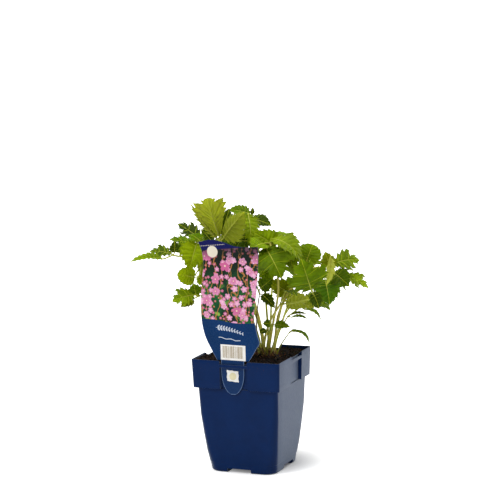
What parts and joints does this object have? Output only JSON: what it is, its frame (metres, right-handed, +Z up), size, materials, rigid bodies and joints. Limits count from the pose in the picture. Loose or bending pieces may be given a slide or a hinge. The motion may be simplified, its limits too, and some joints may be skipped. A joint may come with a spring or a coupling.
{
  "type": "potted astilbe plant",
  "caption": "Young leafy perennial with toothed compound leaves on thin stalks, standing in a square nursery pot of peat with a plant label pushed behind the strap of the pot's front recess.",
  "frame": {"origin": "bottom centre of the bounding box, on the surface that the pot stands on", "axes": "+Z up; -Y towards the pot's front, where the label stands; +X to the right seen from the front"},
  "size_m": [0.25, 0.2018, 0.3246],
  "materials": {
    "pot_plastic": "satin injection-moulded polypropylene, navy blue",
    "peat": "moist crumbly peat compost",
    "label_film": "glossy printed plastic sheet",
    "leaf_bright": "waxy fresh leaf, yellow-green",
    "leaf_mid": "waxy leaf, mid green",
    "leaf_dark": "waxy leaf, dark green",
    "leaf_olive": "pale olive leaf, mostly seen from beneath"
  },
  "bodies": {
    "root": {"pot": "pot_plastic", "soil": "peat", "label": "label_film", "frond_left_front": "leaf_bright", "frond_low_left": "leaf_bright", "frond_centre": "leaf_bright", "frond_far_left": "leaf_mid", "frond_back_top": "leaf_mid", "frond_right_front": "leaf_mid", "frond_right": "leaf_mid", "frond_right_back": "leaf_mid", "frond_right_young": "leaf_mid", "frond_right_lowest": "leaf_mid", "frond_behind_label": "leaf_mid", "frond_back_left": "leaf_mid", "frond_back_right": "leaf_mid", "frond_left_back": "leaf_dark", "frond_front_young": "leaf_dark", "frond_brown_stalk": "leaf_dark", "frond_back": "leaf_dark", "frond_top_left": "leaf_olive", "frond_right_low": "leaf_olive"}
  },
  "joints": []
}
